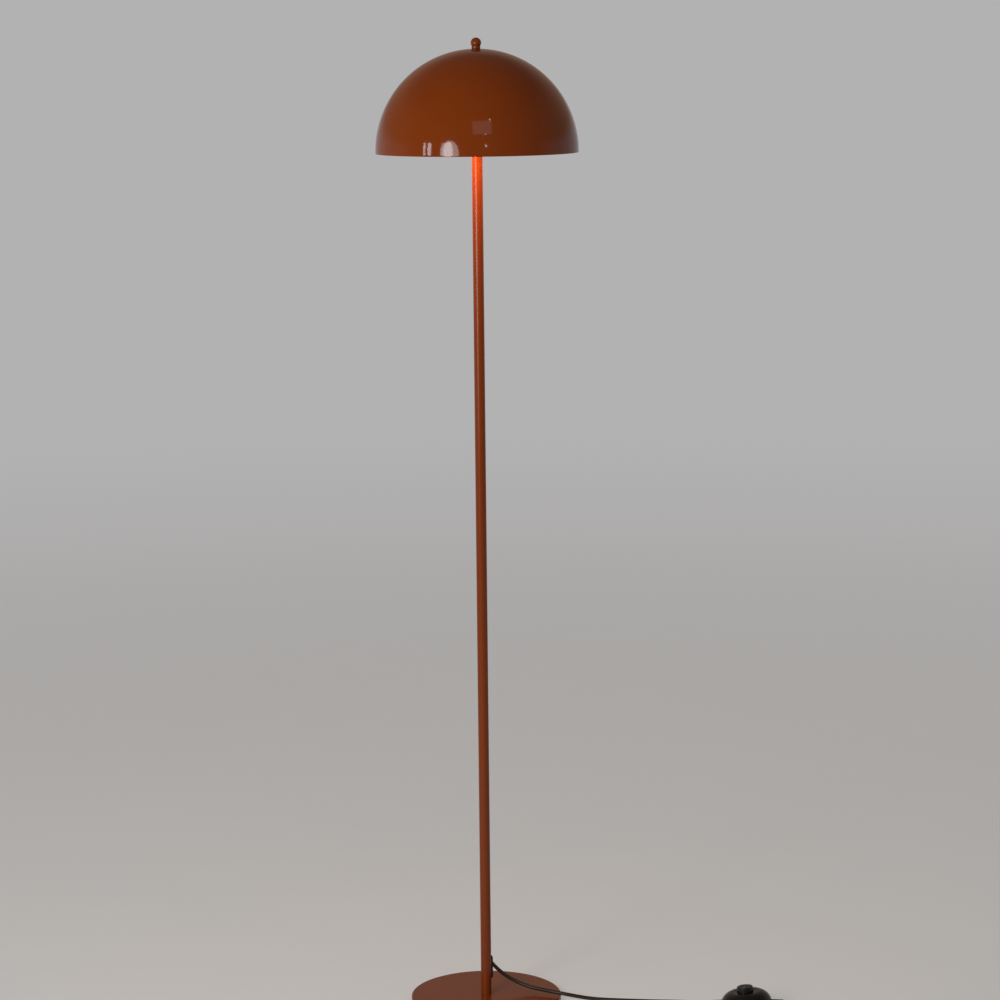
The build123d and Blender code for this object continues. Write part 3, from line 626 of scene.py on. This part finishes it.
screw_low, screw_high = (corner.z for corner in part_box("holder_screw_shell"))
screw_inside = 0.0135
screw_wall = 0.0005
lamp_pitch = 0.0036
thread_depth = 0.00025
screw_outline = wall(screw_inside + screw_wall, screw_low, screw_high)
screw_outline += wall(screw_inside, screw_high, screw_low)
screw_thread = thread(lamp_pitch, thread_depth, screw_low, screw_high - 0.002)
add_piece("holder_screw_pressing", turned(soften(screw_outline), holder_place, 72, screw_thread), [brass],
          "stand", ["holder_screw_shell"])
dress(lacquer, "holder_bracket")
dress(plated, "holder_nut", "holder_nipple")
porcelain = clouded("holder_porcelain", (0.62, 0.59, 0.53, 1), (0.72, 0.70, 0.65, 1), 1400, 3, 0.2, 0.5,
                    0.00005)
dress(porcelain, "holder_core")
dress(brass, "holder_centre_contact")

wire_diameter = 0.0024
wire_spread = 0.00135
side_hole = 0.009
bracket_end = 0.027
holder_reach = 0.040
holder_turn = Matrix.Rotation(radians(225), 4, "Z")
cord_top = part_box("pole_cord")[1].z
wire_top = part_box("wire_brown")[1].z - wire_diameter / 2
wire_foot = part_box("wire_brown")[0].z
brown = insulation("wire_brown", (0.060, 0.020, 0.008, 1), (0.085, 0.030, 0.012, 1))
blue = insulation("wire_blue", (0.020, 0.075, 0.30, 1), (0.030, 0.10, 0.38, 1))
for name, side, finish in (("wire_brown", 1, brown), ("wire_blue", -1, blue)):
    route = [(0, cord_top), (0, wire_top), (side_hole, wire_top), (bracket_end, wire_top),
             (holder_reach, wire_top), (holder_reach, cap_high.z + 0.002), (holder_reach, wire_foot)]
    points = [holder_turn @ Vector((along, side * wire_spread, height)) for along, height in route]
    add_cord(name + "_lead", points, wire_diameter, finish, name, name)


# ---------------------------------------------------------------- bulb
# A small opal globe with a screw cap, lit, 78 mm long. A white housing joins the globe to a
# nickel-plated cap, and a black glass collar insulates the contact at its end.
def opal():
    """Lit opal cover, a little dimmer towards the housing."""
    finish = Finish("bulb_opal")
    height = finish.node("ShaderNodeSeparateXYZ", {}, finish.place(), output="Z")
    clear_of_housing = 1 - finish.ramp(height, housing_foot - 0.010, housing_foot)
    light = finish.blend(clear_of_housing, (0.60, 0.34, 0.13, 1), (1.0, 0.74, 0.42, 1))
    frost = finish.cloud(900, 2)
    finish.owner.cycles.emission_sampling = "NONE"
    return finish.coat(Base_Color=(0.86, 0.83, 0.76, 1), Roughness=frost * 0.1 + 0.22,
                       Emission_Color=light, Emission_Strength=0.85)


globe_low, globe_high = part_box("bulb_globe")
globe_radius = (globe_high.x - globe_low.x) / 2
globe_middle = globe_low.z + globe_radius
glass = 0.001
housing_foot, housing_top = (corner.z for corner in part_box("bulb_housing"))


def arc(middle_height, radius, start, end, steps):
    """Points on a circle about the axis, by angle above the level in radians."""
    angles = [start + (end - start) * step / steps for step in range(steps + 1)]
    return [Vector((max(0, radius * cos(angle)), middle_height + radius * sin(angle))) for angle in angles]


def level_at(radius, height):
    """Angle above the level at which a circle about the axis reaches a height."""
    return Vector((1, 0)).angle(Vector(((radius**2 - height**2) ** 0.5, height)))


def lamp_light(name, kind, power, radius, spot):
    """Warm light inside the shade, which isn't seen itself."""
    data = bpy.data.lights.new(name, kind)
    data.color = lamplight
    data.energy = power
    data.shadow_soft_size = radius
    lamp = put(name, data)
    lamp.location = spot
    lamp.visible_camera = False
    lamp.visible_glossy = False
    return lamp


lamplight = (1.0, 0.50, 0.12)
outer_neck = level_at(globe_radius, housing_foot - globe_middle)
inner_neck = level_at(globe_radius - glass, housing_foot - globe_middle)
globe_outline = arc(globe_middle, globe_radius, -pi / 2, outer_neck, 44)
globe_outline += arc(globe_middle, globe_radius - glass, inner_neck, -pi / 2, 44)
globe = add_piece("bulb_globe_glass", turned(globe_outline, holder_place, 96), [opal()], "bulb",
                  ["bulb_globe"], crease=60)
globe.visible_shadow = False
lamp_light("bulb_light", "POINT", 0.70, globe_radius * 0.9, holder_place @ Vector((0, 0, globe_middle)))

bulb_cap_radius = 0.0132
neck_radius = globe_outline[44].x
housing_radius = 0.0155
housing_outline = soften([
    (0, housing_foot, 0), (neck_radius, housing_foot, 0), (housing_radius, housing_top - 0.003, 0.0012),
    (bulb_cap_radius, housing_top, 0.0004), (0, housing_top, 0),
])
white = clouded("bulb_housing", (0.68, 0.67, 0.64, 1), (0.76, 0.75, 0.72, 1), 240, 3, 0.15, 0.35)
add_piece("bulb_housing_moulding", turned(housing_outline, holder_place, 96), [white], "bulb",
          ["bulb_housing"])

cap_foot, cap_top = (corner.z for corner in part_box("bulb_cap"))
thread_middle = bulb_cap_radius - thread_depth
cap_outline = soften([(0, cap_foot, 0)] + wall(thread_middle, cap_foot, cap_top - 0.0016)
                     + [(0.0118, cap_top, 0.0005), (0, cap_top, 0)])
cap_thread = thread(lamp_pitch, thread_depth, cap_foot + 0.0006, cap_top - 0.002)


def cap_shaping(radius, height, angle):
    """The thread is rolled in the cap's wall, and its ends stay flat."""
    return cap_thread(radius, height, angle) if radius > thread_middle - 1e-6 else radius


nickel = bright_metal("bulb_cap_metal", (0.50, 0.48, 0.44, 1), (0.68, 0.66, 0.61, 1), 0.20)
add_piece("bulb_cap_pressing", turned(cap_outline, holder_place, 72, cap_shaping), [nickel], "bulb",
          ["bulb_cap"])
black_glass = clouded("bulb_insulator", (0.006, 0.005, 0.008, 1), (0.014, 0.012, 0.018, 1), 500, 3, 0.1, 0.08)
dress(black_glass, "bulb_insulator")
dress(brass, "bulb_contact")


# ---------------------------------------------------------------- shade
# A steel sheet spun to a dome 300 mm across, lacquered outside and enamelled off-white
# inside. Its cut rim is eased, and the crown is flat where the finial clamps it.
shade_low, shade_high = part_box("shade")
shade_radius = shade_high.x
shade_wall = 0.0012
shade_hole = 0.0032
shade_seat = 0.009
dome_middle = shade_low.z + 0.002
inside_radius = shade_radius - shade_wall
rim = soften([
    (shade_radius, dome_middle, 0), (shade_radius, shade_low.z, 0.0004), (inside_radius, shade_low.z, 0.0004),
    (inside_radius, dome_middle, 0),
], steps=4)
outside = arc(dome_middle, shade_radius, pi / 2 - shade_seat / shade_radius, 0, 56)
inside = arc(dome_middle, inside_radius, 0, pi / 2 - shade_seat / inside_radius, 56)
crown = [Vector((shade_hole, shade_high.z - shade_wall)), Vector((shade_hole, shade_high.z))]
dome = turned(outside[:-1] + rim + inside[1:] + crown, sides=192)
for face in dome.faces:
    spot = face.calc_center_median() - Vector((0, 0, dome_middle))
    reach = spot.length if spot.z > 0 else spot.xy.length
    face.material_index = 1 if reach < shade_radius - shade_wall / 2 else 0
outside_lacquer = burnt_orange("shade_lacquer", 0.000012, 0.03)
enamel = clouded("white_enamel", (0.60, 0.57, 0.51, 1), (0.68, 0.65, 0.59, 1), 24, 3, 0.1, 0.38, 0.00005)
add_piece("shade_dome", dome, [outside_lacquer, enamel], "stand", ["shade"])

# The lit enamel throws its light down the pole. Four lamps stand in for it, since few rays
# would find the way.
light_reach = 0.11
light_height = dome_middle + 0.0275
light_aim = Vector((0, 0, 1.10))
for turn in (45, 135, 225, 315):
    spot = Matrix.Rotation(radians(turn), 4, "Z") @ Vector((light_reach, 0, light_height))
    enamel_light = lamp_light("enamel_light", "SPOT", 1.35, 0.010, spot)
    enamel_light.data.spot_size = radians(96)
    enamel_light.data.spot_blend = 0.15
    enamel_light.rotation_euler = (light_aim - spot).to_track_quat("-Z", "Y").to_euler()

pale_plastic = clouded("washer_plastic", (0.58, 0.55, 0.48, 1), (0.66, 0.63, 0.56, 1), 300, 2, 0.1, 0.45)
dress(pale_plastic, "seat_washer", "wire_grommet")
dress(moulded("washer_brown", (0.085, 0.022, 0.006, 1), 0.42), "finial_washer")


# ---------------------------------------------------------------- finial
# A turned steel ball on a short collar, lacquered like the rest. It screws down on the stud
# and clamps the shade between two washers.
finial_low, finial_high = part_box("finial")
ball_radius = finial_high.x
ball_middle = finial_high.z - ball_radius
collar_radius = 0.0066
collar_top = finial_low.z + 0.0024
stud_bore = 0.003
bore_top = finial_low.z + 0.009
throat = 0.0060
collar = soften([
    (stud_bore, finial_low.z, 0), (collar_radius, finial_low.z, 0.0003), (collar_radius, collar_top, 0.0005),
    (throat, collar_top, 0),
], steps=4)
ball_start = -Vector((1, 0)).angle(Vector((throat, (ball_radius**2 - throat**2) ** 0.5)))
ball = arc(ball_middle, ball_radius, ball_start, pi / 2, 36)
bore = [Vector((0, bore_top)), Vector((stud_bore, bore_top))]
add_piece("finial_ball", turned(collar + ball + bore, sides=64), [lacquer], "finial_knob",
          ["finial"])


# ---------------------------------------------------------------- foot switch
# Two black moulded halves, screwed together from below, hold a block with the contacts. A
# round button with rings on its top stands on a spring, and rubber feet grip the floor.
def bow(first, middle, last, steps):
    """Points on the arc through three points."""
    first, middle, last = Vector(first), Vector(middle), Vector(last)
    near, far = first - last, middle - last
    side = near * far.length_squared - far * near.length_squared
    centre = last + Vector((-side.y, side.x)) / (2 * (near.x * far.y - near.y * far.x))
    turn = (first - centre).angle_signed(last - centre)
    return [centre + Matrix.Rotation(-turn * step / steps, 2) @ (first - centre) for step in range(steps + 1)]


def side_bar(radius, near, far, place):
    """Round bar along a place's X axis."""
    outline = [Vector(corner) for corner in ((0, near), (radius, near), (radius, far), (0, far))]
    form = turned(outline, place @ Matrix.Rotation(pi / 2, 4, "Y"), 48)
    bmesh.ops.recalc_face_normals(form, faces=form.faces)
    return form


def ribbed_sleeve(root, tip, flange, start, length, ribs=6):
    """Outline of a tapered rubber sleeve whose grooves let it bend with the cord."""
    corners = []
    for rib in range(ribs):
        for share, depth in ((0.0, 0), (0.56, 0), (0.64, 0.00045), (0.92, 0.00045)):
            along = (rib + share) / ribs
            corners.append((root + (tip - root) * along - depth, start + length * along, 0.00012))
    corners += [(tip, start + length, 0.0003), (sheath_bore, start + length, 0)]
    return soften([(sheath_bore, flange[0][1], 0), *flange, *corners], steps=3)


split = 0.009
switch_top = 0.024
wall_top = 0.011
switch_wall = 0.002
flat_radius = 0.014
button_hole = 0.0125
sheath_bore = 0.003
satin = moulded("switch_black", (0.0060, 0.0052, 0.0048, 1), 0.26)
rubber = moulded("black_rubber", (0.011, 0.011, 0.0112, 1), 0.62, 0.00004)


def dome_of(inset):
    """The cover's bulge from its wall to its flat top, drawn in by inset."""
    edge = switch_radius - inset
    top = switch_top - inset
    waist = (edge * 0.845, wall_top + (top - wall_top) * 0.66)
    return bow((edge, wall_top), waist, (flat_radius, top), 22)


step_in = 0.0005
lip = [Vector((switch_radius - step_in, split)), Vector((switch_radius - step_in, split + 0.0008)),
       Vector((switch_radius, split + 0.0012))]
hole_edge = soften([(flat_radius, switch_top, 0), (button_hole, switch_top, 0.0005),
                    (button_hole, switch_top - switch_wall, 0), (flat_radius, switch_top - switch_wall, 0)])
cover_outline = lip + dome_of(0)[:-1] + hole_edge + dome_of(switch_wall)[::-1][1:]
cover_outline.append(Vector((switch_radius - switch_wall, split)))
cover_form = turned(cover_outline, switch_place, 128)
screw_hole = 0.00155
boss_radius = 0.0036
boss_top = 0.0168
boss_reach = 0.030
boss_outline = [Vector((screw_hole, split)), Vector((boss_radius, split)), Vector((boss_radius, boss_top)),
                Vector((screw_hole, boss_top))]
for turn in (90, 210, 330):
    post = switch_place @ Matrix.Rotation(radians(turn), 4, "Z") @ Matrix.Translation((boss_reach, 0, 0))
    cover_form.from_mesh(mesh_of("boss", turned(boss_outline, post, 32)))
cover = add_piece("switch_cover_moulding", cover_form, [satin], "stand", ["switch_cover"])
sleeve_line = switch_place @ Matrix.Translation((0, 0, sleeve_height))
sleeve_hole = 0.0045
hole_from, hole_to = 0.034, 0.039
for near, far in ((-hole_to, -hole_from), (hole_from, hole_to)):
    carve(cover, side_bar(sleeve_hole, near, far, sleeve_line))

button_radius = 0.0122
button_inside = 0.0102
roof = 0.032
button_ceiling = roof - 0.002
button_flange = 0.0141
flange_low, flange_high = 0.0203, 0.0219
plunger_radius = 0.003
plunger_foot = 0.0082
ring_depth = 0.0004
rings = []
for radius in (0.0094, 0.0074, 0.0054, 0.0034):
    rings += [(radius + 0.0004, roof, 0), (radius + 0.0002, roof - ring_depth, 0),
              (radius - 0.0002, roof - ring_depth, 0), (radius - 0.0004, roof, 0)]
button_outline = soften([
    (0, plunger_foot, 0), (plunger_radius, plunger_foot, 0.0003), (plunger_radius, button_ceiling, 0),
    (button_inside, button_ceiling, 0), (button_inside, flange_low, 0), (button_flange, flange_low, 0.0003),
    (button_flange, flange_high, 0.0003), (button_radius, flange_high, 0), (button_radius, roof, 0.0012),
    *rings, (0, roof, 0),
])
add_piece("switch_button_cap", turned(button_outline, switch_place, 96), [satin], "foot_button",
          ["switch_button"])

sleeve_root = 0.0044
sleeve_tip = 0.0036
flange_radius = 0.0049
flange_from, flange_to = 0.0336, 0.0348
sleeve_flange = [(flange_radius, flange_from, 0.0003), (flange_radius, flange_to, 0),
                 (sleeve_root, flange_to, 0)]
sleeve_outline = ribbed_sleeve(sleeve_root, sleeve_tip, sleeve_flange, switch_radius + 0.001,
                               sleeve_length - 0.001)
for node, turn in (("switch_sleeve_in", -pi / 2), ("switch_sleeve_out", pi / 2)):
    sleeve_place = sleeve_line @ Matrix.Rotation(turn, 4, "Y")
    add_piece(node + "_rubber", turned(sleeve_outline, sleeve_place, 48), [rubber], "stand",
              [node])
dress(satin, "switch_base", "switch_block", "switch_block_lid")
dress(rubber, "switch_feet")
dress(plated, "switch_screws")
dress(brass, "switch_bridge", "switch_terminals")
dress(blue, "switch_wires")

spring_radius = 0.0056
spring_wire = 0.0009
spring_turns = 6
spring_foot = 0.01275
spring_top = 0.02925
steps_in_turn = 24


def spring_form():
    """Round wire wound from the block up to the button's roof."""
    rings = []
    climb = (spring_top - spring_foot) / spring_turns / (2 * pi)
    for step in range(spring_turns * steps_in_turn + 1):
        angle = 2 * pi * step / steps_in_turn
        outward = Vector((cos(angle), sin(angle), 0))
        along = Vector((-sin(angle) * spring_radius, cos(angle) * spring_radius, climb)).normalized()
        middle = outward * spring_radius + Vector((0, 0, spring_foot + climb * angle))
        upward = outward.cross(along)
        ring = []
        for side in range(10):
            spoke = outward * cos(pi * side / 5) + upward * sin(pi * side / 5)
            ring.append(switch_place @ (middle + spoke * spring_wire / 2))
        rings.append(ring)
    return loft(rings)


drawn_wire = bright_metal("spring_steel", (0.30, 0.30, 0.31, 1), (0.44, 0.44, 0.45, 1), 0.22)
spring = add_piece("switch_spring_wire", spring_form(), [drawn_wire], "stand",
                   ["switch_spring"])
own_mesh(spring)


# ---------------------------------------------------------------- spare cord
# The rest of the lead leaves the switch and is wound into a neat coil in two layers, spiralling
# in on the floor and out again on top, with its end led off to the plug.
coil_centre = Vector((0.4555, -0.1658, 0))
coil_radius = 0.042
turn_pitch = 0.0074
coil_low = 0.001 + cord_diameter / 2
coil_high = coil_low + 0.0070
coil_halves = 5
points_in_half = 8
plug_place = Matrix.Translation((0.3643, -0.19737, 0.00685)) @ Matrix.Rotation(radians(170.5), 4, "Z")
boot_length = 0.020


def half_turn(centre, radius, side, low, high):
    """Points of half a turn, clockwise from above, pushed out so that the smooth line keeps the radius."""
    outset = 1 / cos(pi / points_in_half / 2) ** 2
    points = []
    for step in range(points_in_half):
        share = (step + 0.5) / points_in_half
        angle = pi * share + (pi if side > 0 else 0)
        spoke = Vector((cos(angle), -sin(angle), 0)) * radius * outset
        points.append(coil_centre + Vector((centre, 0, low + (high - low) * share)) + spoke)
    return points


def coil_points():
    """Turns spiral in on the floor, climb in the innermost half turn and spiral out on top."""
    step = turn_pitch / 2
    middle = -step / 2
    points = [coil_centre + Vector((coil_radius, cord_diameter, coil_low))]
    for half in range(coil_halves):
        side = 1 if half % 2 else -1
        centre = middle + step / 2 if side < 0 else middle - step / 2
        points += half_turn(centre, coil_radius - half * step, side, coil_low, coil_low)
    climb_radius = coil_radius - (coil_halves - 1) * step - step / 2
    points += half_turn(middle, climb_radius, 1, coil_low, coil_high)
    for half in range(coil_halves - 1):
        side = 1 if half % 2 else -1
        centre = middle - step / 2 if side < 0 else middle + step / 2
        points += half_turn(centre, climb_radius + step / 2 + half * step, side, coil_high, coil_high)
    last = middle - step / 2
    points += half_turn(last, coil_radius, -1, coil_high, coil_high)[:points_in_half // 2]
    points.append(coil_centre + Vector((last - cord_diameter, -coil_radius, coil_high)))
    return points


route = [in_switch(cord_end_in_switch), in_switch(switch_radius + sleeve_length + 0.014)]
route += [Vector(point) / 1000 for point in (
    (484.0, -98.5, 13.5), (494.0, -120.0, 7.5), (497.5, -140.0, 3.9))]
route += coil_points()
route += [Vector(point) / 1000 for point in ((432.0, -207.8, 10.9), (416.5, -206.8, 8.6))]
route += [plug_place @ Vector((-boot_length - 0.011, 0, 0)), plug_place @ Vector((0, 0, 0))]
spare = add_cord("cord_switch_to_plug", route, cord_diameter, sheath, "cord_sheath",
                 "cord_to_coil", "cord_coil", "cord_to_plug")


# ---------------------------------------------------------------- cord tie
# A strap of black hook-and-loop tape goes once round the coil, and its end laps over its
# start on top.
def fuzzy_tape():
    """Looped pile, dull and dusty."""
    finish = Finish("tie_black")
    pile = finish.node("ShaderNodeTexVoronoi", {}, Vector=finish.place(), Scale=1500)
    colour = finish.blend(pile, (0.010, 0.010, 0.011, 1), (0.034, 0.034, 0.036, 1))
    return finish.coat(Base_Color=colour, Roughness=0.9, Normal=finish.relief(pile, 0.0003), Sheen_Weight=0.3)


def strap_path(middle, wide, tall, corner, lap, rise):
    """Round the coil from the top's middle, and on over the start as a second layer."""
    top = middle.z + tall / 2
    points = [Vector((middle.x, middle.y, top))]
    quarters = ((1, 1, pi / 2), (1, -1, 0), (-1, -1, -pi / 2), (-1, 1, -pi))
    for side, up, start in quarters:
        for step in range(7):
            angle = start - pi / 2 * step / 6
            points.append(middle + Vector((side * (wide / 2 - corner) + corner * cos(angle), 0,
                                           up * (tall / 2 - corner) + corner * sin(angle))))
    for along, lift in ((-0.0055, 0.1), (-0.0040, 0.5), (-0.0025, 0.9), (-0.0010, 1.0), (lap, 1.0)):
        points.append(Vector((middle.x + along, middle.y, top + rise * lift)))
    return points


def strap(path, width, thickness):
    """Flat tape with eased edges along a path in an upright plane."""
    rings = []
    eased = thickness * 0.35
    section = [(width / 2, -thickness / 2 + eased), (width / 2, thickness / 2 - eased),
               (width / 2 - eased, thickness / 2), (-width / 2 + eased, thickness / 2),
               (-width / 2, thickness / 2 - eased), (-width / 2, -thickness / 2 + eased),
               (-width / 2 + eased, -thickness / 2), (width / 2 - eased, -thickness / 2)]
    for index, spot in enumerate(path):
        ahead = path[min(index + 1, len(path) - 1)] - path[max(index - 1, 0)]
        outward = Vector((-ahead.z, 0, ahead.x)).normalized()
        rings.append([spot + Vector((0, across, 0)) + outward * out for across, out in section])
    return loft(rings)


tie_low, tie_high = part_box("cord_tie")
tie_size = tie_high - tie_low
tape = 0.0008
tie_corner = 0.0025
tie_lap = 0.008
tie_rise = 0.0009
tie_middle = (tie_low + tie_high) / 2
tie_path = strap_path(tie_middle, tie_size.x - tape, tie_size.z - tape, tie_corner, tie_lap, tie_rise)
add_piece("cord_tie_strap", strap(tie_path, tie_size.y, tape), [fuzzy_tape()], "stand",
          ["cord_tie"])


# ---------------------------------------------------------------- plug
# A moulded two-pin plug with a narrow back and ribs on its sides. Its brass pins are sleeved
# near the body, and a ribbed boot keeps the cord from kinking.
def plug_section(along):
    """Width, height and rounding of the plug at a distance from its back."""
    share = along / plug_length
    wide = plug_back_wide + (plug_front_wide - plug_back_wide) * share
    tall = plug_back_tall + (plug_front_tall - plug_back_tall) * share
    end = min(along, plug_length - along)
    inset = plug_edge - (plug_edge**2 - max(0, plug_edge - end) ** 2) ** 0.5
    return wide - 2 * inset, tall - 2 * inset, plug_corner - inset


def plug_form():
    """Body lofted through rounded sections, with ribs pressed in its sides."""
    edge = [plug_edge * (1 - cos(pi / 2 * step / 5)) for step in range(6)]
    body = [plug_edge + (plug_length - 2 * plug_edge) * step / 70 for step in range(1, 70)]
    rings = []
    for along in edge + body + [plug_length - reach for reach in reversed(edge)]:
        wide, tall, corner = plug_section(along)
        rib = 0.0
        if ribs_from < along < ribs_to:
            rib = rib_depth / 2 * (1 - cos(2 * pi * (along - ribs_from) / (ribs_to - ribs_from) * rib_count))
        ring = []
        for side, up, start in ((1, 1, 0), (-1, 1, pi / 2), (-1, -1, pi), (1, -1, 3 * pi / 2)):
            for step in range(7):
                angle = start + pi / 2 * step / 6
                across = side * (wide / 2 - corner) + corner * cos(angle)
                spot = Vector((along, across - side * rib * cos(angle) ** 2,
                               up * (tall / 2 - corner) + corner * sin(angle)))
                ring.append(plug_place @ spot)
        rings.append(ring)
    return loft(rings)


plug_length = 0.036
plug_back_wide, plug_back_tall = 0.015, 0.0105
plug_front_wide, plug_front_tall = 0.0353, 0.0137
plug_corner = 0.004
plug_edge = 0.0012
ribs_from = 0.010
ribs_to = 0.026
rib_count = 5
rib_depth = 0.0006
pin_apart = 0.0186
pin_hole = 0.002
pin_root = plug_length - 0.009
plug_black = moulded("plug_black", (0.011, 0.0105, 0.0102, 1), 0.40)
plug = add_piece("plug_moulding", plug_form(), [plug_black], "stand", ["plug_body"])
for side in (-1, 1):
    pin_line = plug_place @ Matrix.Translation((0, side * pin_apart / 2, 0))
    carve(plug, side_bar(pin_hole, pin_root, plug_length + 0.001, pin_line))

boot_root = 0.0046
boot_tip = 0.0037
boot_collar = 0.002
boot_outline = ribbed_sleeve(boot_root, boot_tip, [(boot_root, 0, 0.0003)], boot_collar,
                             boot_length - boot_collar)
boot_place = plug_place @ Matrix.Rotation(-pi / 2, 4, "Y")
add_piece("plug_boot_rubber", turned(boot_outline, boot_place, 48), [rubber], "stand",
          ["plug_boot"])
dress(brass, "plug_pins")
dress(rubber, "plug_pin_sleeves")
